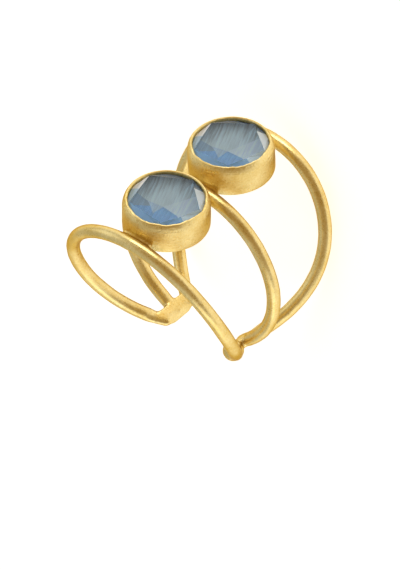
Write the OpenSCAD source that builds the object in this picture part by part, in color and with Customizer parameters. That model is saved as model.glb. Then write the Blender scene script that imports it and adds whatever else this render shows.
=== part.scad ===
// Open three-wire ring with two round faceted stones in bezel cups.
// The ring lies on its side, as it comes to rest: the finger axis leans a little from upright.
// Inside the modules X runs along the finger, Y across it and Z up to the stones.

/* [Wires] */
// inner diameter of the finger hollow, mm
finger_d = 17.3; // [14:0.1:22]
// thickness of the round wire, mm
wire_d = 1.4; // [1:0.05:2]
// where the front wire crosses over the finger, mm along the finger
front_wire_x = -10.1; // [-14:0.1:-8]
// where the back wire crosses over the finger, mm along the finger
back_wire_x = 10.5; // [8:0.1:14]
// how sharply the wires run together near the ends
gather = 2.3; // [1.5:0.1:3]

/* [Ends] */
// angle from the top to the left end, degrees
left_end = 161.5; // [130:0.5:170]
// angle from the top to the right end, degrees
right_end = 147; // [130:0.5:170]
// how much sooner the back wire stops on the right, degrees
back_short = 8; // [0:0.5:10]
// where the front wire ends on the left, mm along the finger
left_front_x = -1.5; // [-2:0.05:-1]
// where the middle wire ends on the left, mm along the finger
left_middle_x = 0.1; // [-0.4:0.05:0.4]
// where the front wire ends on the right, mm along the finger
right_front_x = -1.45; // [-2:0.05:-1]
// where the back wire ends on both sides, mm along the finger
back_end_x = 1.3; // [1:0.05:2]
// thickness of the flattened ends, mm
end_t = 1.1; // [0.6:0.1:1.3]
// length of the flattened left end, mm
left_plate_l = 1.85; // [1:0.05:4]
// length of the flattened right end, mm
right_plate_l = 1.5; // [1:0.05:4]
// diameter of the bead of solder on the front wire's right end, mm
bead_d = 2.1; // [1.4:0.1:3]

/* [Bezel cups] */
// outer diameter of a bezel cup, mm
cup_d = 8.6; // [7:0.1:12]
// height of a bezel cup, mm
cup_h = 3.3; // [2:0.1:5]
// where the front cup sits along the finger, mm
front_cup_x = -4.9; // [-7:0.05:-4]
// height of the front cup's bottom over the finger axis, mm
front_cup_z = 8.35; // [8:0.05:10]
// sideways lean of the front cup, degrees
front_cup_lean = 1.9; // [-5:0.1:5]
// where the back cup sits along the finger, mm
back_cup_x = 5.1; // [4:0.05:7]
// height of the back cup's bottom over the finger axis, mm
back_cup_z = 8.75; // [8:0.05:10]
// sideways lean of the back cup, degrees
back_cup_lean = -2.2; // [-5:0.1:5]
// thickness of the solder joints between cups and wires, mm
joint_d = 1; // [0.6:0.1:1.3]

/* [Stones] */
// diameter of a stone, mm
stone_d = 8; // [6:0.1:10]
// sides of the stone's flat top
stone_sides = 10; // [8:2:16]
// width across the long corners of the flat top, mm
table_d = 7; // [4:0.1:7]
// how far the corners between them reach, as a share of that
table_pull = 0.83; // [0.7:0.01:1]
// the same for the one on the far side, where the stone is cut nearly straight
far_pull = 0.96; // [0.7:0.01:1]
// how far the last of these corners sits off its place, degrees
off_corner = 19; // [0:1:20]
// turn of the front stone in its cup, degrees
front_stone_turn = -4.5; // [-36:0.5:36]
// turn of the back stone in its cup, degrees
back_stone_turn = -1; // [-36:0.5:36]
// height of the stone above its edge, mm
crown_h = 0.45; // [0.2:0.05:1.5]
// thickness of the stone's edge, mm
edge_t = 0.15; // [0.05:0.05:0.5]
// depth of the stone below its edge, mm
pavilion_h = 1.95; // [0.5:0.05:3]
// gap between stone and metal, mm
stone_gap = 0.04; // [0.02:0.01:0.2]

/* [Rest] */
// lean of the finger axis from upright as the ring lies, degrees
rest_lean = 20.7; // [0:0.1:45]
// roll to one side as the ring lies, degrees
rest_roll = 1.9; // [-10:0.1:10]
// height of the middle of the hollow over the floor, mm
rest_z = 7.961; // [0:0.001:30]
// shift that brings the middle of the ring over the origin, mm
rest_x = -0.013; // [-10:0.001:10]
// shift that brings the middle of the ring over the origin, mm
rest_y = 2.479; // [-10:0.001:10]

/* [Hidden] */
$fn = 64;
wire_sides = 16;
wire_rings = 24;
radius = (finger_d + wire_d) / 2;
half_w = wire_d / 2;
tops = [front_wire_x, 0, back_wire_x];
left_ends = [left_front_x, left_middle_x, back_end_x];
right_ends = [right_front_x, 0, back_end_x];
table_z = cup_h;
edge_z = table_z - crown_h;
belt_z = edge_z - edge_t;
culet_z = belt_z - pavilion_h;
stone_r = stone_d / 2;
cup_r = cup_d / 2;
seat_r = stone_r + stone_gap;

function unit(v) = v / norm(v);

// The angle from the top at which a wire stops, on the left (1) or the right (-1).
function stop(w, side) = side > 0 ? left_end : right_end - (w == 2 ? back_short : 0);

// Where wire w ends along the finger, on the left (1) or the right (-1).
function end_x(w, side) = side > 0 ? left_ends[w] : right_ends[w];

// A point on the middle line of wire w at fraction t of its way from the top to an end.
function at(w, side, t) =
    let (a = t * stop(w, side), x = end_x(w, side) + (tops[w] - end_x(w, side)) * (1 - pow(t, gather)))
    [x, side * radius * sin(a), radius * cos(a)];

// The direction of the wire there.
function heading(w, side, t) =
    let (full = stop(w, side), a = t * full, k = radius * full * PI / 180)
    unit([(end_x(w, side) - tops[w]) * gather * pow(t, gather - 1), side * k * cos(a), -k * sin(a)]);

// How thick the wire is there, outward from the finger, against its width: it flattens at the ends.
function squash(t) = 1 - (1 - 0.96 * end_t / wire_d) * max(0, (t - 0.93) / 0.07);

// One ring of points around the wire.
function belt(w, side, t) =
    let (p = at(w, side, t), h = heading(w, side, t), o = unit([0, p.y, p.z]))
    let (u = unit(o - (o * h) * h), v = side * cross(h, u))
    [for (j = [0 : wire_sides - 1])
        let (a = 360 * j / wire_sides)
        p + wire_d / 2 * (squash(t) * cos(a) * u + sin(a) * v)];

// A wire from its right end over the top to its left end, as one closed tube.
module wire(w) {
    n = wire_sides;
    right = [for (i = [wire_rings : -1 : 1]) belt(w, -1, i / wire_rings)];
    left = [for (i = [0 : wire_rings]) belt(w, 1, i / wire_rings)];
    rings = concat(right, left);
    last = len(rings) - 1;
    points = [for (b = rings) for (q = b) q];
    faces = concat(
        [[for (j = [0 : n - 1]) j]],
        [for (i = [0 : last - 1]) for (j = [0 : n - 1])
            [i * n + j, (i + 1) * n + (j + 1) % n, i * n + (j + 1) % n]],
        [for (i = [0 : last - 1]) for (j = [0 : n - 1])
            [i * n + j, (i + 1) * n + j, (i + 1) * n + (j + 1) % n]],
        [[for (j = [n - 1 : -1 : 0]) last * n + j]]
    );
    polyhedron(points = points, faces = faces);
}

// The outline of a flattened end: square where the wires come in, rounded at the tip.
module end_outline(x1, x2, l) {
    r = 0.7;
    translate([x1, 0])
        square([x2 - x1, l - r]);
    translate([x1 + r, 0])
        square([x2 - x1 - 2 * r, l]);
    for (x = [x1 + r, x2 - r])
        translate([x, l - r])
            circle(r);
}

// The flattened end where the wires run together, from x1 to x2 along the finger.
// It lies square to the radius at angle a from the top, on the left (1) or the right (-1).
module flat_end(side, a, x1, x2, l) {
    rotate([-side * a, 0, 0])
        translate([0, -side * l / 2, radius - end_t / 2])
            linear_extrude(end_t)
                scale([1, side])
                    end_outline(x1, x2, l);
}

// A bezel cup with its rim pressed in over the edge of the stone, standing on its bottom.
module cup() {
    lip = stone_r - 0.3;
    rotate_extrude()
        polygon([
            [0, 0],
            [cup_r - 0.2, 0],
            [cup_r - 0.06, 0.08],
            [cup_r, 0.25],
            [cup_r, cup_h - 1.3],
            [cup_r - 0.08, cup_h - 0.7],
            [cup_r - 0.22, cup_h - 0.3],
            [cup_r - 0.36, cup_h - 0.08],
            [cup_r - 0.5, cup_h],
            [lip + 0.05, cup_h - 0.05],
            [lip, cup_h - 0.12],
            [seat_r, edge_z + stone_gap],
            [seat_r, belt_z - stone_gap],
            [seat_r - 0.25, belt_z - 0.12 - stone_gap * 1.5],
            [seat_r - 0.25, 0.5],
            [0, 0.5]
        ]);
}

module put_cup(x, z, lean) {
    translate([x, 0, z])
        rotate([lean, 0, 0])
            children();
}

// A solder joint between a cup and a wire, along the finger.
module joint(x1, x2) {
    translate([x1, 0, radius])
        rotate([0, 90, 0])
            cylinder(d = joint_d, h = x2 - x1);
}

// k points evenly around a circle.
function circle_points(r, z, k) = [for (i = [0 : k - 1]) [r * cos(i * 360 / k), r * sin(i * 360 / k), z]];

// How far corner i of the flat top reaches, and its angle: cut by hand, so not quite even.
function corner_r(i) = table_d / 2 * (i == 1 ? far_pull : i % 2 == 1 ? table_pull : 1);
function corner_a(i, n) = i * 360 / n + (i == n - 1 ? off_corner : 0);

// A cut stone: round edge, flat top with long corners and shorter ones between,
// sloping facets above and below.
module stone() {
    n = stone_sides;
    top = [for (i = [0 : n - 1])
        [corner_r(i) * cos(corner_a(i, n)), corner_r(i) * sin(corner_a(i, n)), table_z]];
    points = concat(
        top,
        circle_points(stone_r, edge_z, 2 * n),
        circle_points(stone_r, belt_z, 2 * n),
        [[0, 0, culet_z]]
    );
    faces = concat(
        [[for (i = [n - 1 : -1 : 0]) i]],
        [for (i = [0 : n - 1]) [i, (i + 1) % n, n + 2 * i + 1]],
        [for (i = [0 : n - 1]) [i, n + 2 * i + 1, n + 2 * i]],
        [for (i = [0 : n - 1]) [(i + 1) % n, n + (2 * i + 2) % (2 * n), n + 2 * i + 1]],
        [for (i = [0 : 2 * n - 1]) [n + i, n + (i + 1) % (2 * n), 3 * n + (i + 1) % (2 * n), 3 * n + i]],
        [for (i = [0 : 2 * n - 1]) [3 * n + i, 3 * n + (i + 1) % (2 * n), 5 * n]]
    );
    polyhedron(points = points, faces = faces);
}

module lay() {
    translate([rest_x, rest_y, rest_z])
        rotate([0, 0, -90])
            rotate([rest_roll, 0, 0])
                rotate([0, 90 - rest_lean, 0])
                    children();
}

module ring_frame() {
    color([0.86, 0.68, 0.33])
        lay() {
            wire(0);
            wire(1);
            wire(2);
            put_cup(front_cup_x, front_cup_z, front_cup_lean)
                cup();
            put_cup(back_cup_x, back_cup_z, back_cup_lean)
                cup();
            joint(tops[0], front_cup_x - cup_r + 0.25);
            joint(front_cup_x + cup_r - 0.25, tops[1]);
            joint(tops[1], back_cup_x - cup_r + 0.25);
            joint(back_cup_x + cup_r - 0.25, tops[2]);
            flat_end(1, left_end - 3,
                left_front_x - half_w + 0.04, back_end_x + half_w + 0.02, left_plate_l);
            flat_end(-1, right_end - 1.9, right_front_x - half_w + 0.1, half_w, right_plate_l);
            translate(at(0, -1, 1) - [0.1, 0, 0])
                sphere(d = bead_d);
        }
}

module front_stone() {
    color([0.47, 0.57, 0.68])
        lay()
            put_cup(front_cup_x, front_cup_z, front_cup_lean)
                rotate([0, 0, front_stone_turn])
                    stone();
}

module back_stone() {
    color([0.47, 0.57, 0.68])
        lay()
            put_cup(back_cup_x, back_cup_z, back_cup_lean)
                rotate([0, 0, back_stone_turn])
                    stone();
}

ring_frame();
front_stone();
back_stone();
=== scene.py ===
# %% [markdown]
# # An open ring of three gold wires with two round stones
#
# A goldsmith makes this ring from three lengths of round wire, bent to the
# finger and soldered together at both ends, with two bezel cups that sit
# between the wires. We first load the measured model of the ring. It says
# where everything is. Then we model each piece again with the finish that
# the real one has.

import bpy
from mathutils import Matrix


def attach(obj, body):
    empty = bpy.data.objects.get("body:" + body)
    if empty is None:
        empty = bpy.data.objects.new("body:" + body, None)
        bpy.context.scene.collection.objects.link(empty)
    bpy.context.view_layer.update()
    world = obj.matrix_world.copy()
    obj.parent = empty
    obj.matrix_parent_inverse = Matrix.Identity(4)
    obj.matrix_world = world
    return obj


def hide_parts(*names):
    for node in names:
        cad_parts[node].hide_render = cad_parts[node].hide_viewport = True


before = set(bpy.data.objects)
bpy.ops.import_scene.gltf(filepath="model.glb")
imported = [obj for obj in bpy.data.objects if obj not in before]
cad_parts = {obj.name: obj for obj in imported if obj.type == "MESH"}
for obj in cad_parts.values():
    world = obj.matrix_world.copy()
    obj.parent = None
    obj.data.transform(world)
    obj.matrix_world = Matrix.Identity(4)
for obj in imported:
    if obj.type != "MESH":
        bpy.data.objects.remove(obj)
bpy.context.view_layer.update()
print("nodes:", sorted(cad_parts))

# %% [markdown]
# ## Millimetres, and the way that the ring lies
#
# Blender counts in metres and a jeweller in millimetres, so one number turns
# the one into the other. The ring lies on its side on the table. It is much
# easier to model it upright, with the stones on top, so every piece is made
# that way: X runs along the finger, Y across it and Z up to the stones. One
# matrix then lays a finished mesh down in its place.

# %% Units and the lying matrix
from math import atan2, cos, degrees, pi, radians, sin

import bpy
import numpy as np
from mathutils import Matrix, Vector, noise

MM = 0.001
# how far the lying ring leans back and rolls to one side, in degrees
LEAN, ROLL = 20.7, 1.9
# the middle of the finger hollow of the lying ring
MIDDLE = Vector((-0.013, 2.479, 7.961)) * MM
LAY = (
    Matrix.Translation(MIDDLE)
    @ Matrix.Rotation(radians(-90), 4, "Z")
    @ Matrix.Rotation(radians(ROLL), 4, "X")
    @ Matrix.Rotation(radians(90 - LEAN), 4, "Y")
)


def only(*pieces):
    """Select these pieces and nothing else; the first one is active."""
    bpy.ops.object.select_all(action="DESELECT")
    for piece in pieces:
        piece.select_set(True)
    bpy.context.view_layer.objects.active = pieces[0]


def named(name):
    """Name the piece that was just made."""
    piece = bpy.context.object
    piece.name = piece.data.name = name
    return piece


print("the middle of the hollow is", round(MIDDLE.z / MM, 2), "mm over the floor")

# %% [markdown]
# ## The path of a wire
#
# Seen along the finger, each wire runs round the same circle. Seen from
# above, the three start apart at the top and run together towards the ends.
# A power of the way travelled gives that curve: slow at first, then quick.
# The same few sizes describe all three wires, which is why a short formula
# is better here than points placed by eye. Two small numbers for each half
# of a wire then let it stray from the formula, as a bend made by hand does.

# %% Sizes and path of the wires
INNER_D, WIRE_D = 17.3, 1.4
RADIUS = (INNER_D + WIRE_D) / 2
# places along the finger of the front, middle and back wire, in mm:
# at the top, and at the left (1) and right (-1) end
TOPS = (-10.1, 0.0, 10.4)
ENDS = {1: (-1.5, 0.1, 1.45), -1: (-1.45, 0.0, 0.55)}
# the power of the way travelled: the higher, the later the wires gather
GATHER = 2.3
# degrees from the top to each end, and how much earlier some wires stop
LEFT_END, RIGHT_END = 161.5, 147.0
SHORT = {(0, -1): 2.5, (2, -1): 6.0}
# how far a half of a wire strays along the finger and outwards, in mm
STRAY = {
    (0, 1): (0.38, 0.17),
    (0, -1): (0.14, 0.0),
    (1, -1): (0.07, 0.02),
    (2, -1): (0.16, 0.24),
}


def stop(wire, side):
    """Angle from the top where the wire ends, left (1) or right (-1)."""
    return (LEFT_END if side > 0 else RIGHT_END) - SHORT.get((wire, side), 0)


def along(wire, side, t):
    """The middle of the wire at share t of its way from the top to an end."""
    angle = radians(t * stop(wire, side))
    x = ENDS[side][wire] + (TOPS[wire] - ENDS[side][wire]) * (1 - t**GATHER)
    stray_x, stray_r = STRAY.get((wire, side), (0, 0))
    x += stray_x * sin(pi * t**2)
    r = RADIUS + stray_r * sin(pi * t)
    return Vector((x, side * r * sin(angle), r * cos(angle))) * MM


print("outer diameter of the hoop:", RADIUS * 2 + WIRE_D, "mm")

# %% [markdown]
# ## Bending the wires
#
# A wire could be extruded ring by ring, but a curve with a round bevel is how
# one draws wire in Blender: the curve is the bend, and the bevel is the
# gauge. We subdivide a plain path until it has enough points, lay the points
# on the formula, and convert the result to a mesh.

# %% Bend three wires
POINTS = 61


def bend(wire):
    """One wire from its right end over the top to its left end."""
    bpy.ops.object.select_all(action="DESELECT")
    bpy.ops.curve.primitive_nurbs_path_add()
    bpy.ops.object.mode_set(mode="EDIT")
    bpy.ops.curve.select_all(action="SELECT")
    # a new path has five points, so four gaps to fill
    bpy.ops.curve.subdivide(number_cuts=(POINTS - 5) // 4)
    bpy.ops.object.mode_set(mode="OBJECT")
    curve = bpy.context.object.data
    spline = curve.splines[0]
    last = len(spline.points) - 1
    for i, point in enumerate(spline.points):
        s = 2 * i / last - 1
        point.co = (*along(wire, 1 if s > 0 else -1, abs(s)), 1)
    spline.resolution_u = 3
    curve.bevel_depth = WIRE_D / 2 * MM
    curve.bevel_resolution = 6
    curve.use_fill_caps = True
    bpy.ops.object.convert(target="MESH")
    return named(f"wire_{wire}")


wires = [bend(wire) for wire in range(3)]
print("vertices of a wire:", len(wires[0].data.vertices))

# %% [markdown]
# ## Flattening the ends
#
# At both ends the wires were hammered a little flat and filed into one plate.
# We take the vertices near an end and squeeze them towards the circle in
# three small passes, each one closer to the tip, as a hammer would.

# %% Squeeze the wire ends
# what one pass of the hammer leaves of the height
SQUEEZE = 0.90
# degrees from the top where the flat part begins, left (1) and right (-1)
FLAT_FROM = {1: LEFT_END - 8.5, -1: RIGHT_END - 6.5}
# each pass of the hammer begins this many degrees before the flat part
EARLIER = (4, 2, 0)
# the flat part touches the circle this many degrees after its beginning
TOUCH = 5.3


def edit(piece, pick):
    """Open a piece with only the vertices selected for which pick is true."""
    only(piece)
    bpy.ops.object.mode_set(mode="EDIT")
    bpy.ops.mesh.select_mode(type="VERT")
    bpy.ops.mesh.select_all(action="DESELECT")
    bpy.ops.object.mode_set(mode="OBJECT")
    for v in piece.data.vertices:
        v.select = pick(v.co)
    bpy.ops.object.mode_set(mode="EDIT")


def from_top(co):
    """Angle from the top of the ring, to the left or right, in degrees."""
    return degrees(atan2(co.y, co.z))


def flat_part(side):
    """Where the flat part touches, and its axes: along finger, along hoop, outwards."""
    angle = radians(FLAT_FROM[side] + TOUCH)
    out = Vector((0, side * sin(angle), cos(angle)))
    across = Vector((1, 0, 0))
    return out * RADIUS * MM, Matrix((across, out.cross(across), out)).transposed()


for piece in wires:
    for side in (1, -1):
        centre, axes = flat_part(side)
        for earlier in EARLIER:
            limit = FLAT_FROM[side] - earlier
            edit(piece, lambda co: side * from_top(co) > limit)
            bpy.ops.transform.resize(
                value=(1, 1, SQUEEZE),
                orient_type="GLOBAL",
                orient_matrix=axes,
                center_override=centre,
            )
            bpy.ops.object.mode_set(mode="OBJECT")
print("ends squeezed:", 2 * len(wires))

# %% [markdown]
# ## The soldered ends
#
# Each end is a small plate. A cube is added at its size, its two outer
# corners are bevelled round, and a second fine bevel takes off the sharp
# edges, because a file and a tumbler leave none.

# %% File the two end plates
PLATE_T = 1.15
FILED_EDGE = 0.12
# side, from and to along the finger, length along the hoop, corner radius, in mm
PLATES = {
    "left_plate": (1, -2.15, 2.1, 1.85, 1.0),
    "right_plate": (-1, -1.9, 0.75, 1.2, 0.5),
}
# two heights that differ by less than this count as one, in mm
CLOSE = 0.01


def plate(name, side, x1, x2, length, corner):
    """A plate that starts where the flat part begins."""
    bpy.ops.object.select_all(action="DESELECT")
    size = Vector((x2 - x1, length, PLATE_T)) * MM
    before = radians(TOUCH) * RADIUS
    middle = Vector(((x1 + x2) / 2, side * (length / 2 - before), RADIUS)) * MM
    bpy.ops.mesh.primitive_cube_add(size=1)
    piece = named(name)
    piece.data.transform(Matrix.Translation(middle) @ Matrix.Diagonal((*size, 1)))
    edit(piece, lambda co: side * co.y > (length - before - CLOSE) * MM)
    bpy.ops.object.mode_set(mode="OBJECT")
    for edge in piece.data.edges:
        a, b = (piece.data.vertices[i] for i in edge.vertices)
        edge.select = a.select and b.select and abs(a.co.z - b.co.z) > CLOSE * MM
    bpy.ops.object.mode_set(mode="EDIT")
    bpy.ops.mesh.select_mode(type="EDGE")
    bpy.ops.mesh.bevel(offset=corner * MM, segments=10, affect="EDGES")
    bpy.ops.object.mode_set(mode="OBJECT")
    filed = piece.modifiers.new("filed edges", "BEVEL")
    filed.width, filed.segments, filed.limit_method = FILED_EDGE * MM, 3, "ANGLE"
    bpy.ops.object.modifier_apply(modifier=filed.name)
    angle = FLAT_FROM[side] + TOUCH
    piece.data.transform(Matrix.Rotation(radians(-side * angle), 4, "X"))
    return piece


plates = [plate(name, *sizes) for name, sizes in PLATES.items()]
print("plates:", [p.name for p in plates])

# %% [markdown]
# ## The bead and the solder
#
# On the right the front wire ends in a round bead where the solder was melted
# into a ball. Solder also fills the corners where a cup touches a wire. Both
# are drops of metal, so both start as a sphere that is squeezed to its size.

# %% Drops of solder
BEAD_D = 2.15
# the bead hangs a little outside the hoop, and off the end of the wire, in mm
BEAD_OUT, BEAD_OFF = 1.018, (-0.45, -0.2, 0.28)
# size of the solder under a cup, and how deep it lies in the hoop, in mm
SOLDER_SIZE, SOLDER_DEPTH = (1.5, 3.6, 0.95), 0.1
CUP_R, CUP_H = 4.3, 3.3
# a cup's place along the finger and height in mm, and its tilt in degrees
CUPS = {"front": (-4.8, 8.35, 1.9), "back": (5.14, 8.64, -2.2)}


def drop(name, place, size):
    """A drop of metal with this middle and size, in mm."""
    bpy.ops.object.select_all(action="DESELECT")
    bpy.ops.mesh.primitive_ico_sphere_add(subdivisions=4, radius=1)
    piece = named(name)
    bpy.ops.object.mode_set(mode="EDIT")
    bpy.ops.mesh.select_all(action="SELECT")
    bpy.ops.transform.resize(value=[s / 2 * MM for s in size])
    bpy.ops.transform.translate(value=Vector(place) * MM)
    bpy.ops.object.mode_set(mode="OBJECT")
    return piece


tip = along(0, -1, 1) / MM
bead = tip.x + BEAD_OFF[0], tip.y * BEAD_OUT + BEAD_OFF[1], tip.z * BEAD_OUT + BEAD_OFF[2]
drops = [drop("bead", bead, (BEAD_D, BEAD_D, BEAD_D))]
for name, (x, _, _) in CUPS.items():
    for touching in (x - CUP_R, x + CUP_R):
        place = touching, 0, RADIUS - SOLDER_DEPTH
        drops.append(drop(f"{name}_solder", place, SOLDER_SIZE))
print("drops of metal:", len(drops))

# %% [markdown]
# ## Turning a bezel cup
#
# A bezel cup is a strip of thin sheet bent round, soldered to a disc, and
# rubbed over the edge of the stone. A lathe profile describes it well. We
# start from a filled circle, the underside, and extrude it upwards step by
# step, scaling each step to the radius of the profile: up the wall, over the
# lip, and down the inside to the floor of the cup. A burnisher presses the
# lip in by hand, so at the end the wall and lip get a slow and a quick
# waver that grows towards the top.

# %% Turn two cups
# radius and height of each step, in mm
PROFILE = (
    (4.10, 0.00), (4.24, 0.07), (4.30, 0.22), (4.31, 0.60), (4.32, 1.20),
    (4.30, 1.80), (4.31, 2.30), (4.27, 2.68), (4.19, 2.95), (4.10, 3.12),
    (4.03, 3.24), (3.97, 3.30), (3.85, 3.31), (3.77, 3.24), (3.74, 3.12),
    (3.74, 2.96), (3.88, 2.91), (4.04, 2.89), (4.04, 2.66), (3.79, 2.52),
    (3.79, 0.50),
)
# pace round the cup and depth in mm of the two wavers
SLOW, QUICK = (2.2, 0.14), (7, 0.09)
# how much of a waver goes inwards and upwards, and where the wall begins, in mm
INWARDS, UPWARDS, WALL_R = 0.6, 0.5, 3.6


def placed(x, z, tilt):
    """Matrix that stands a cup or a stone on the hoop."""
    return Matrix.Translation((x * MM, 0, z * MM)) @ Matrix.Rotation(radians(tilt), 4, "X")


def waver(co, pace, depth, seed):
    """How far the metal is off its place here, in mm."""
    angle = atan2(co.y, co.x)
    return noise.noise((cos(angle) * pace, sin(angle) * pace, seed)) * depth


def cup(name, seed):
    """A cup, upright at the origin."""
    bpy.ops.object.select_all(action="DESELECT")
    radius, height = PROFILE[0]
    bpy.ops.mesh.primitive_circle_add(vertices=128, radius=radius * MM, fill_type="NGON")
    piece = named(name)
    bpy.ops.object.mode_set(mode="EDIT")
    bpy.ops.mesh.select_all(action="SELECT")
    for r, z in PROFILE[1:]:
        step = (0, 0, (z - height) * MM)
        bpy.ops.mesh.extrude_region_move(TRANSFORM_OT_translate={"value": step})
        bpy.ops.transform.resize(value=(r / radius, r / radius, 1))
        radius, height = r, z
    bpy.ops.mesh.select_all(action="SELECT")
    bpy.ops.mesh.normals_make_consistent(inside=False)
    bpy.ops.object.mode_set(mode="OBJECT")
    for v in piece.data.vertices:
        up, r = v.co.z / MM / CUP_H, v.co.to_2d().length / MM
        if r > WALL_R:
            slow, quick = waver(v.co, *SLOW, seed), waver(v.co, *QUICK, seed + 3)
            push = (slow + quick) * up**3
            v.co.x *= 1 - push / r * INWARDS
            v.co.y *= 1 - push / r * INWARDS
            v.co.z += (slow / 2 + quick) * up**4 * UPWARDS * MM
    return piece


cups = [cup(f"{n}_cup", 7.0 * i) for i, n in enumerate(CUPS)]
for piece, place in zip(cups, CUPS.values()):
    piece.data.transform(placed(*place))
print("a cup has", len(cups[0].data.polygons), "faces")

# %% [markdown]
# ## One piece of metal
#
# Solder makes the wires, plates and drops one piece with soft inner corners.
# Joining the meshes and remeshing them with voxels does the same: all that
# overlaps becomes one skin, and a few passes of smoothing round the corners.
# A slight displacement leaves the flat places of a hand finish. The ends
# were filed after soldering, so their steps are smoothed more. The cups keep
# their own clean mesh, because voxels would blunt the thin lip.

# %% Solder it all together
VOXEL = 0.106
DENT_SIZE, DENT_DEPTH = 1.6, 0.04
# the file worked from this place along the finger on, left (1) and right (-1)
FILED_FROM = {1: -3.0, -1: -1.8}
# and from this many degrees before the flat part
FILED_EARLIER = 2
# edges of a cup that bend less than this are shaded round, in degrees
CREASE = 32

only(*wires, *plates, *drops)
bpy.ops.object.join()
frame_metal = named("ring_wires")
remesh = frame_metal.modifiers.new("solder", "REMESH")
remesh.mode, remesh.voxel_size = "VOXEL", VOXEL * MM
smooth = frame_metal.modifiers.new("polish", "SMOOTH")
smooth.factor, smooth.iterations = 0.5, 8
dents = bpy.data.textures.new("dents", "CLOUDS")
dents.noise_scale, dents.noise_depth = DENT_SIZE * MM, 1
hammer = frame_metal.modifiers.new("hand finish", "DISPLACE")
hammer.texture, hammer.strength, hammer.mid_level = dents, DENT_DEPTH * MM, 0.5
for modifier in (remesh.name, smooth.name, hammer.name):
    bpy.ops.object.modifier_apply(modifier=modifier)
for side in (1, -1):
    limit, begin = FLAT_FROM[side] - FILED_EARLIER, FILED_FROM[side] * MM
    edit(frame_metal, lambda co: side * from_top(co) > limit and co.x > begin)
    bpy.ops.mesh.vertices_smooth(factor=0.5, repeat=16)
    bpy.ops.object.mode_set(mode="OBJECT")
only(frame_metal)
bpy.ops.object.shade_smooth()
only(*cups)
bpy.ops.object.join()
cup_metal = named("bezel_cups")
bpy.ops.object.shade_smooth_by_angle(angle=radians(CREASE))
for piece in (frame_metal, cup_metal):
    print("triangles in", piece.name, sum(len(p.vertices) - 2 for p in piece.data.polygons))

# %% [markdown]
# ## Which way the brush went
#
# The metal was brushed along the wires and around the cups. The finish needs
# to know that direction at each point, so we keep two distances for each
# vertex as an attribute: how far along the brush stroke, and how far across.
# With that known, both pieces are laid down.

# %% Brush coordinates
# side of the middle wire where a cup stands, and where its strokes begin, in mm:
# far apart, so that the two cups don't show the same grain
BRUSHED = {"front": (-1, 0), "back": (1, 80)}


def points_of(piece):
    """All vertices of a piece as an array, in mm."""
    co = np.empty(len(piece.data.vertices) * 3, np.float32)
    piece.data.vertices.foreach_get("co", co)
    return co.reshape(-1, 3) / MM


def keep_brush(piece, stroke):
    brush = piece.data.attributes.new("brush", "FLOAT_VECTOR", "POINT")
    brush.data.foreach_set("vector", stroke.astype(np.float32).ravel())


co = points_of(frame_metal)
hoop = np.hypot(co[:, 1], co[:, 2])
round_hoop = np.arctan2(co[:, 1], co[:, 2]) * RADIUS
keep_brush(frame_metal, np.column_stack((round_hoop, co[:, 0], hoop)))
co = points_of(cup_metal)
stroke = np.zeros_like(co)
for name, (side, begin) in BRUSHED.items():
    inverse = np.array(placed(*CUPS[name]).inverted())
    local = co @ inverse[:3, :3].T + inverse[:3, 3] / MM
    here = co[:, 0] * side > 0
    r = np.hypot(local[:, 0], local[:, 1])
    round_cup = np.arctan2(local[:, 1], local[:, 0]) * CUP_R
    stroke[here] = np.column_stack((round_cup, local[:, 2], r))[here] + (begin, 0, 0)
keep_brush(cup_metal, stroke)
for piece in (frame_metal, cup_metal):
    piece.data.transform(LAY)
print("points with a brush direction:", len(frame_metal.data.vertices) + len(co))

# %% [markdown]
# ## The top of a stone
#
# Each stone is cut by hand. Its flat table has five long sides, and each side
# has a slight corner in its middle, so the table is a circle with ten corners
# of which every second one is pulled in. A crown of facets slopes down to the
# edge, and bridging two circles of ten corners gives it. The cutter worked by
# eye, so three corners are then moved off the regular star: on the far side
# one stands out and one in, and a third sits beside its place.

# %% Cut the top
SIDES = 10
TABLE_R, STONE_R = 3.58, 4.0
TABLE_Z, EDGE_Z = 3.3, 2.85
PULL_IN = 0.833
# a short corner comes once in 72 degrees, at 54 degrees; this far off still counts
ONE_OF_FIVE, SHORT_AT, ABOUT = 72, 54, 5
# angles of the two corners of the far side, and how much further out they stand
FAR_CORNERS = {54: 1.16, 126: 0.96}
# angle of the third corner, and its turn at the table and at the edge, in degrees
OFF_PLACE, TABLE_TURN, EDGE_TURN = 342, 19, 6


def short_corners(piece, z):
    """Open a stone with the five short corners at height z selected."""
    def is_short(co):
        angle = degrees(atan2(co.y, co.x)) % ONE_OF_FIVE
        return abs(co.z / MM - z) < CLOSE and abs(angle - SHORT_AT) < ABOUT
    edit(piece, is_short)


def one_corner(piece, angle, z):
    """Open a stone with the corner at this angle and height selected."""
    def is_near(co):
        off = degrees(atan2(co.y, co.x)) % 360 - angle
        return abs(co.z / MM - z) < CLOSE and abs(off) < ABOUT
    edit(piece, is_near)


def scale_out(share):
    """Scale what is selected away from the stone's axis, and close the piece."""
    bpy.ops.transform.resize(value=(share, share, 1))
    bpy.ops.object.mode_set(mode="OBJECT")


def ring_of_corners(radius, z):
    bpy.ops.object.select_all(action="DESELECT")
    place = (0, 0, z * MM)
    bpy.ops.mesh.primitive_circle_add(vertices=SIDES, radius=radius * MM, location=place)
    bpy.ops.object.transform_apply(location=True, rotation=False, scale=False)
    return bpy.context.object


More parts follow.
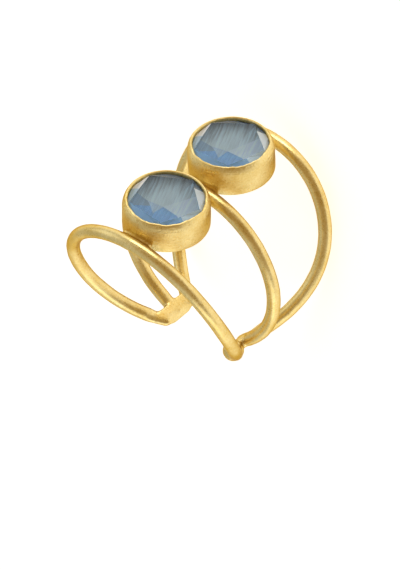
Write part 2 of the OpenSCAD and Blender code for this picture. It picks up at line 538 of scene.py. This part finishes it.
def cut_top(name):
    """Table and crown of a stone, open below."""
    cut, edge = ring_of_corners(TABLE_R, TABLE_Z), ring_of_corners(STONE_R, EDGE_Z)
    only(cut, edge)
    bpy.ops.object.join()
    named(name)
    short_corners(cut, TABLE_Z)
    scale_out(PULL_IN)
    for angle, share in FAR_CORNERS.items():
        one_corner(cut, angle, TABLE_Z)
        scale_out(share)
    for z, by in ((TABLE_Z, TABLE_TURN), (EDGE_Z, EDGE_TURN)):
        one_corner(cut, OFF_PLACE, z)
        bpy.ops.transform.rotate(value=radians(-by), orient_axis="Z", center_override=(0, 0, 0))
        bpy.ops.object.mode_set(mode="OBJECT")
    edit(cut, lambda co: True)
    bpy.ops.mesh.bridge_edge_loops()
    bpy.ops.mesh.quads_convert_to_tris(quad_method="SHORTEST_DIAGONAL")
    bpy.ops.object.mode_set(mode="OBJECT")
    edit(cut, lambda co: co.z > (TABLE_Z - CLOSE) * MM)
    bpy.ops.mesh.edge_face_add()
    bpy.ops.object.mode_set(mode="OBJECT")
    return cut


stones = {name: cut_top(f"{name}_stone_cut") for name in CUPS}
print("facets on top:", [len(cut.data.polygons) for cut in stones.values()])

# %% [markdown]
# ## The underside of a stone
#
# Through the table one sees five broad facets round the lowest point, and a
# ring of smaller ones outside them. We extrude the edge down as a short belt,
# then on to a ring, and from there to a point. Every second corner of the
# ring is pushed out, so the facets form a star. The lowest point and one
# corner of the ring sit off their places here too.

# %% Cut the underside
BELT_Z, RING_Z, LOWEST_Z = 2.70, 1.70, 0.75
# size of the ring as a share of the edge, and how far its short corners stand out
RING_SHARE, PUSH_OUT = 0.40, 1.22
# shift of the lowest point in mm, and a corner of the ring with its turn in degrees
LOWEST_OFF, RING_OFF, RING_TURN = (-0.26, 0.24), 126, 14


def extrude_down(z_from, z_to):
    step = (0, 0, (z_to - z_from) * MM)
    bpy.ops.mesh.extrude_region_move(TRANSFORM_OT_translate={"value": step})


def cut_underside(cut):
    """Close a stone below its edge."""
    edit(cut, lambda co: co.z < (EDGE_Z + CLOSE) * MM)
    extrude_down(EDGE_Z, BELT_Z)
    extrude_down(BELT_Z, RING_Z)
    scale_out(RING_SHARE)
    edit(cut, lambda co: abs(co.z / MM - RING_Z) < CLOSE)
    extrude_down(RING_Z, LOWEST_Z)
    bpy.ops.mesh.merge(type="CENTER")
    bpy.ops.transform.translate(value=(LOWEST_OFF[0] * MM, LOWEST_OFF[1] * MM, 0))
    bpy.ops.object.mode_set(mode="OBJECT")
    short_corners(cut, RING_Z)
    scale_out(PUSH_OUT)
    one_corner(cut, RING_OFF, RING_Z)
    bpy.ops.transform.rotate(
        value=radians(-RING_TURN), orient_axis="Z", center_override=(0, 0, 0)
    )
    bpy.ops.mesh.select_all(action="SELECT")
    bpy.ops.mesh.quads_convert_to_tris(quad_method="SHORTEST_DIAGONAL")
    bpy.ops.mesh.normals_make_consistent(inside=False)
    bpy.ops.object.mode_set(mode="OBJECT")


for cut in stones.values():
    cut_underside(cut)
print("facets:", [len(cut.data.polygons) for cut in stones.values()])

# %% [markdown]
# ## What each facet shows
#
# Looking into a stone one sees its underside through the top. Each facet of
# the underside reflects another part of the room into the stone: some look
# blue, some pale, and those on the far side dark. That light is painted: a
# fixed colour for each facet, the grey-blue of the glass with a painted
# reflection, or painted shade on the far side, is kept on its corners as an
# attribute for the material. A flat map of the stone, seen from above, says
# which way the fibres run. Then each stone is turned in its cup and laid down.

# %% Colours of the facets
# sRGB colours, counter-clockwise: of the five inner and ten outer facets of
# the underside, and of the ten facets of the crown. Each is the grey-blue of
# the glass with a painted reflection, and the dark ones are painted shade
INNER_REFLECTIONS = ("D2ECF4", "D2ECF4", "BCDCF4", "88C4F8", "DCF4FF")
OUTER_REFLECTION_AND_SHADE = (
    "5A6872", "5A6872", "66767F", "98BAD2", "86BEF2",
    "86BEF2", "8AC0F4", "DCF2FF", "DCF2FF", "8CA4B0",
)
CROWN_REFLECTION_AND_SHADE = (
    "7D8C9A", "7D8C9A", "F4F6F4", "B8D4E6", "90BCE8",
    "90BCE8", "90BCE8", "C4DCEC", "E0EAEE", "74869A",
)
# turn of each stone in its cup, and the way that the fibres run, in degrees
TURNS, FIBRES = {"front": -22.5, "back": -19.0}, 21
# degrees that a facet takes up, where the first begins, and the far side that gets painted shade
SECTOR, FIRST, FAR_TO, FAR_FROM = 36, 18, 108, 324
# height over which the far side is painted dark as shade, and the width of the flat map, in mm
DARK_Z, MAP_WIDTH = 2, 10
# how much the fibres show at the far edge with its painted shade, and elsewhere
SHOWN, FAINT = 1.0, 0.2


def linear(hex_colour):
    """Turn an sRGB colour into the linear one that a shader wants."""
    parts = [int(hex_colour[i : i + 2], 16) / 255 for i in (0, 2, 4)]
    return [c / 12.92 if c <= 0.04045 else ((c + 0.055) / 1.055) ** 2.4 for c in parts] + [1]


def reflection_and_shade_tint(face, angle, top, inner):
    """Colour of a corner, by its facet and where the facet lies: a painted reflection, or
    painted shade on the far side.
    """
    if top:
        return CROWN_REFLECTION_AND_SHADE[int(angle / SECTOR)]
    if face.center.z > RING_Z * MM and not inner:
        return OUTER_REFLECTION_AND_SHADE[int(angle / SECTOR)]
    return INNER_REFLECTIONS[int((angle + SECTOR) % 360 / (2 * SECTOR))]


for name, cut in stones.items():
    spin = radians(TURNS[name])
    colours = cut.data.color_attributes.new("facet", "FLOAT_COLOR", "CORNER")
    plan = cut.data.uv_layers.new(name="plan")
    for face in cut.data.polygons:
        angle = (degrees(atan2(face.center.y, face.center.x)) - FIRST) % 360
        top = face.center.z > (EDGE_Z - CLOSE) * MM
        far = angle < FAR_TO or angle > FAR_FROM
        # fibres scatter the light inside, so the underside shades softly
        face.use_smooth = not top
        for corner in face.loop_indices:
            co = cut.data.vertices[cut.data.loops[corner].vertex_index].co
            high = co.z > DARK_Z * MM
            # the tint is the facet's painted reflection, or painted shade on the far side
            tint = reflection_and_shade_tint(face, angle, top, inner=far and not high)
            # the last number is how much the fibres show
            colours.data[corner].color = linear(tint)[:3] + [SHOWN if far and high else FAINT]
            away = co.to_2d().length / MM / MAP_WIDTH
            turned = atan2(co.y, co.x) + spin - radians(FIBRES)
            plan.data[corner].uv = 0.5 + away * cos(turned), 0.5 + away * sin(turned)
    cut.data.transform(LAY @ placed(*CUPS[name]) @ Matrix.Rotation(spin, 4, "Z"))
print("facet colours:", len(INNER_REFLECTIONS) + len(OUTER_REFLECTION_AND_SHADE) + len(CROWN_REFLECTION_AND_SHADE))

# %% [markdown]
# ## Nodes
#
# A material is a small network of nodes. One function adds a node, sets it
# and links it, so that each finish below reads like its recipe.

# %% A helper for materials
def add(tree, kind, sockets=None, **settings):
    """Add a node, set its options, and set or link its input sockets."""
    new = tree.nodes.new(kind)
    for key, value in settings.items():
        setattr(new, key, value)
    for key, value in (sockets or {}).items():
        if isinstance(value, bpy.types.NodeSocket):
            tree.links.new(value, new.inputs[key])
        else:
            new.inputs[key].default_value = value
    return new


def material(name):
    made = bpy.data.materials.new(name)
    made.use_nodes = True
    tree = made.node_tree
    tree.nodes.clear()
    return made, tree


print("materials of the measured model:", len(bpy.data.materials))

# %% [markdown]
# ## Gold with a satin finish
#
# The metal is gold plate over brass, brushed by hand with a brass brush. That
# leaves a soft shine with a fine grain, and the brush polishes high spots
# more than hollows. The finish is drawn from three noises: broad patches of
# light and deep gold, a grain, and scratches that follow the brush. Grain and
# scratches move the roughness and a slight bump together.

# %% Satin gold plate
# light gold where the brush polished, deep gold where it didn't reach, and
# the brown that gold shows where the light only grazes it
LIGHT_GOLD, DEEP_GOLD, GRAZED_GOLD = "FAE8AA", "DBBB67", "BE9C62"
# Patches are 2.4 mm wide and grains 0.19 mm: this many go to a millimetre.
# Real grain is finer than a tenth of a millimetre, and wouldn't show.
PATCHES, GRAINS = 0.42, 5.2
# a scratch is drawn 2 mm long and 0.17 mm wide, also coarser than a real one
SCRATCHES = (0.5, 6.0, 6.0)
# The drawn wire was brushed lightly: its fine grain leaves long soft bands of
# light. The sheet of the cups was brushed harder, and its deeper grain breaks
# the light into small specks. The depths are in mm.
GRAIN_DEPTHS = {"satin_gold_wire": 0.02, "brushed_gold_cup": 0.1}


def gold_plate(name, depth):
    """Gold plate brushed to a grain of this depth."""
    made, tree = material(name)
    place = add(tree, "ShaderNodeTexCoord").outputs["Object"]
    stroke = add(tree, "ShaderNodeAttribute", attribute_name="brush").outputs["Vector"]
    drawn = add(
        tree, "ShaderNodeVectorMath", {0: stroke, 1: SCRATCHES}, operation="MULTIPLY"
    ).outputs["Vector"]
    cloudy = add(tree, "ShaderNodeTexNoise", {
        "Vector": place, "Scale": PATCHES / MM, "Detail": 3,
    }).outputs["Fac"]
    grain = add(tree, "ShaderNodeTexNoise", {
        "Vector": place, "Scale": GRAINS / MM, "Detail": 3, "Roughness": 0.6,
    }).outputs["Fac"]
    lines = add(tree, "ShaderNodeTexNoise", {
        "Vector": drawn, "Scale": 1.0, "Detail": 3, "Roughness": 0.6,
    }).outputs["Fac"]
    patchy = add(tree, "ShaderNodeMath", {0: cloudy, 1: grain}, operation="ADD")
    patches = add(tree, "ShaderNodeMapRange", {
        "Value": patchy.outputs["Value"], "From Min": 0.6, "From Max": 1.4,
    })
    tint = add(tree, "ShaderNodeMix", {
        "Factor": patches.outputs["Result"], "A": linear(DEEP_GOLD), "B": linear(LIGHT_GOLD),
    }, data_type="RGBA")
    worn = add(tree, "ShaderNodeMath", {0: grain, 1: lines}, operation="ADD").outputs["Value"]
    rough = add(tree, "ShaderNodeMapRange", {
        "Value": worn, "From Min": 0.7, "From Max": 1.3, "To Min": 0.25, "To Max": 0.4,
    })
    bump = add(tree, "ShaderNodeBump", {"Height": worn, "Strength": 0.5, "Distance": depth * MM})
    shader = add(tree, "ShaderNodeBsdfPrincipled", {
        "Base Color": tint.outputs["Result"],
        "Metallic": 1.0,
        "Specular Tint": linear(GRAZED_GOLD),
        "Roughness": rough.outputs["Result"],
        "Normal": bump.outputs["Normal"],
    })
    add(tree, "ShaderNodeOutputMaterial", {"Surface": shader.outputs["BSDF"]})
    return made


for piece, (name, depth) in zip((frame_metal, cup_metal), GRAIN_DEPTHS.items()):
    piece.data.materials.clear()
    piece.data.materials.append(gold_plate(name, depth))
    print("metal finish:", piece.data.materials[0].name)

# %% [markdown]
# ## Cat's-eye glass
#
# The stones are cat's-eye glass, which is drawn from thousands of fine
# fibres, grey with a blue glow. One block of it could be one material, but
# the eye reads three: the polished table is clear and lets one look in, the
# crown is polished too but milky, and the underside shows the cut fibres.
# The crown and the underside take the painted reflection or painted shade of
# each facet as their colour, with the fibres drawn over it.

# %% Clear table, half clear crown and fibre underside
# Fibres over the flat map of 10 mm, along and across: each is drawn 3.3 mm
# long and 0.33 mm wide. Real fibres are far finer than the render can show.
FIBRE_COUNT = (3, 30, 1)


def fibres_over_reflections(tree, low, high):
    """The colour of each facet, its painted reflection or painted shade, with bright fibres
    drawn across it.
    """
    facet = add(tree, "ShaderNodeVertexColor", layer_name="facet")
    plan = add(tree, "ShaderNodeUVMap", uv_map="plan").outputs["UV"]
    drawn = add(
        tree, "ShaderNodeVectorMath", {0: plan, 1: FIBRE_COUNT}, operation="MULTIPLY"
    ).outputs["Vector"]
    fibres = add(tree, "ShaderNodeTexNoise", {
        "Vector": drawn, "Scale": 1.0, "Detail": 3, "Roughness": 0.6,
    })
    streak = add(tree, "ShaderNodeMapRange", {
        "Value": fibres.outputs["Fac"], "From Min": 0.4, "From Max": 0.66,
        "To Min": low, "To Max": high,
    })
    shade = add(tree, "ShaderNodeMath", {
        0: streak.outputs["Result"], 1: facet.outputs["Alpha"], 2: 1.0,
    }, operation="MULTIPLY_ADD")
    return add(tree, "ShaderNodeVectorMath", {
        0: facet.outputs["Color"], "Scale": shade.outputs["Value"],
    }, operation="SCALE").outputs["Vector"]


def clear_glass():
    """Ground flat and polished: a mirror from some sides, a window from the others."""
    made, tree = material("clear_glass_table")
    shader = add(tree, "ShaderNodeBsdfPrincipled", {
        "Base Color": linear("FAFCFE"),
        "Roughness": 0.02,
        "IOR": 1.5,
        "Transmission Weight": 1.0,
    })
    add(tree, "ShaderNodeOutputMaterial", {"Surface": shader.outputs["BSDF"]})
    return made


def crown_glass():
    """Small facets polished by hand: glossy, but milky with the fibres right below, and coloured
    with each facet's painted reflection or painted shade.
    """
    made, tree = material("crown_glass")
    shader = add(tree, "ShaderNodeBsdfPrincipled", {
        "Base Color": fibres_over_reflections(tree, -0.1, 0.1),
        "Roughness": 0.06,
        "IOR": 1.5,
        "Transmission Weight": 0.35,
    })
    add(tree, "ShaderNodeOutputMaterial", {"Surface": shader.outputs["BSDF"]})
    return made


def fibre_glass():
    """Ground and left dull: no shine of its own, only the painted reflections and painted shade
    of its facets and the streaks of the fibres.
    """
    made, tree = material("cats_eye_fibre_glass")
    shader = add(tree, "ShaderNodeBsdfPrincipled", {
        "Base Color": fibres_over_reflections(tree, -0.3, 1.0),
        "Roughness": 0.6,
    })
    add(tree, "ShaderNodeOutputMaterial", {"Surface": shader.outputs["BSDF"]})
    return made


finishes = clear_glass(), crown_glass(), fibre_glass()
for cut in stones.values():
    cut.data.materials.clear()
    for finish in finishes:
        cut.data.materials.append(finish)
    # the first ten vertices are the table's, the next ten the edge's
    for face in cut.data.polygons:
        face.material_index = min(max(i // SIDES for i in face.vertices), 2)
print("stone finishes:", [finish.name for finish in finishes])

# %% [markdown]
# ## Where each piece belongs
#
# Each finished piece rides on the ring's one body and stands for a node of
# the measured model.

# %% Tie the pieces to the model
for piece in (frame_metal, cup_metal):
    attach(piece, "root")
    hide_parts("ring_frame")
for name, cut in stones.items():
    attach(cut, "root")
    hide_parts(f"{name}_stone")
print("pieces:", [p.name for p in (frame_metal, cup_metal, *stones.values())])

# %% [markdown]
# ## The floor
#
# A product photographer lays a small bright thing on matt white paper. Its
# pressed fibres scatter light to all sides, so the eye sees no shine, only a
# soft shadow. The photographer also lights the paper until it is as white as
# the tent, and emission does that here.

# %% White paper
bpy.ops.object.select_all(action="DESELECT")
bpy.ops.mesh.primitive_plane_add(size=3)
floor = named("floor")
paper, tree = material("white_paper")
shader = add(tree, "ShaderNodeBsdfPrincipled", {
    "Base Color": linear("F4F4F4"),
    "Roughness": 0.6,
    "Emission Color": linear("FFFFFF"),
    "Emission Strength": 0.62,
})
add(tree, "ShaderNodeOutputMaterial", {"Surface": shader.outputs["BSDF"]})
floor.data.materials.append(paper)
print("floor:", [round(side, 2) for side in floor.dimensions], "m")

# %% [markdown]
# ## The camera
#
# The camera looks down on the ring from 40 cm with a long lens, which keeps
# the near cup from looking much larger than the far one. It is turned so that
# the lying ring seems to stand in the picture with its stones up. It looks at
# a point a little below the middle of the hollow.

# %% Camera
TO_CAMERA = Vector((-0.511, -0.431, 0.744)).normalized()
UP = Vector((0.428, -0.878, -0.215))
AWAY, BELOW = 400 * MM, 2.412 * MM
LENS, SENSOR = 363.9, 36
eye = MIDDLE + TO_CAMERA * AWAY
back = (eye - (MIDDLE - UP * BELOW)).normalized()
right = UP.cross(back).normalized()
up = back.cross(right)
lens = bpy.data.cameras.new("camera")
lens.sensor_fit, lens.sensor_width, lens.lens = "HORIZONTAL", SENSOR, LENS
lens.clip_start, lens.clip_end = 0.01, 10
camera = bpy.data.objects.new("camera", lens)
camera.matrix_world = Matrix.Translation(eye) @ Matrix((right, up, back)).transposed().to_4x4()
bpy.context.scene.collection.objects.link(camera)
bpy.context.scene.camera = camera
down = degrees(atan2(TO_CAMERA.z, TO_CAMERA.xy.length))
print("the camera looks down by", round(down), "degrees")

# %% [markdown]
# ## The lights
#
# Satin gold shows whatever stands around it, so the lights are large and
# soft: one square softbox to the left, one above and one below the ring as
# the picture shows it. Small lamps would leave hard white points.

# %% Lights
def softbox(name, way, distance, size, power):
    """A square light in direction way, given in the camera's right, up and back."""
    place = MIDDLE + (right * way[0] + up * way[1] + back * way[2]).normalized() * distance
    light = bpy.data.lights.new(name, "AREA")
    light.shape, light.size, light.energy = "SQUARE", size, power
    lamp = bpy.data.objects.new(name, light)
    facing = (MIDDLE - place).to_track_quat("-Z", "Y").to_matrix().to_4x4()
    lamp.matrix_world = Matrix.Translation(place) @ facing
    bpy.context.scene.collection.objects.link(lamp)
    print(name, [round(c, 2) for c in place])


softbox("softbox_left", (-1.0, 0.4, 0.1), distance=0.6, size=0.4, power=0.25)
softbox("softbox_top", (0.0, 0.9, 0.4), distance=0.6, size=0.3, power=1.0)
softbox("softbox_low", (0.1, -1.0, 0.1), distance=0.6, size=0.5, power=0.8)

# %% [markdown]
# ## The tent
#
# Around everything hangs a white tent with a gap where the camera looks in.
# The gap is darker and warmer than the cloth, and satin wire shows it as a
# darker band along its middle, which makes the wire look round.

# %% A white tent, open where the camera looks in
# cosine of the angle to the camera where the gap begins, and where it is full
GAP_BEGINS, GAP_FULL = 0.3, 0.97
CLOTH, GAP = (0.59, "FFFFFF"), (0.46, "F0CC90")
world = bpy.data.worlds.new("white_tent")
world.use_nodes = True
tree = world.node_tree
tent = tree.nodes["Background"]
way = add(tree, "ShaderNodeTexCoord").outputs["Generated"]
facing = add(tree, "ShaderNodeVectorMath", {0: way, 1: TO_CAMERA}, operation="DOT_PRODUCT")
gap = add(tree, "ShaderNodeMapRange", {
    "Value": facing.outputs["Value"], "From Min": GAP_BEGINS, "From Max": GAP_FULL,
}, interpolation_type="SMOOTHSTEP").outputs["Result"]
dim = add(tree, "ShaderNodeMapRange", {"Value": gap, "To Min": CLOTH[0], "To Max": GAP[0]})
warm = add(tree, "ShaderNodeMix", {
    "Factor": gap, "A": linear(CLOTH[1]), "B": linear(GAP[1]),
}, data_type="RGBA")
tree.links.new(warm.outputs["Result"], tent.inputs["Color"])
tree.links.new(dim.outputs["Result"], tent.inputs["Strength"])
bpy.context.scene.world = world
bpy.context.scene.view_settings.view_transform = "Standard"
print("the tent is", round(CLOTH[0] / GAP[0], 2), "times as bright as its gap")
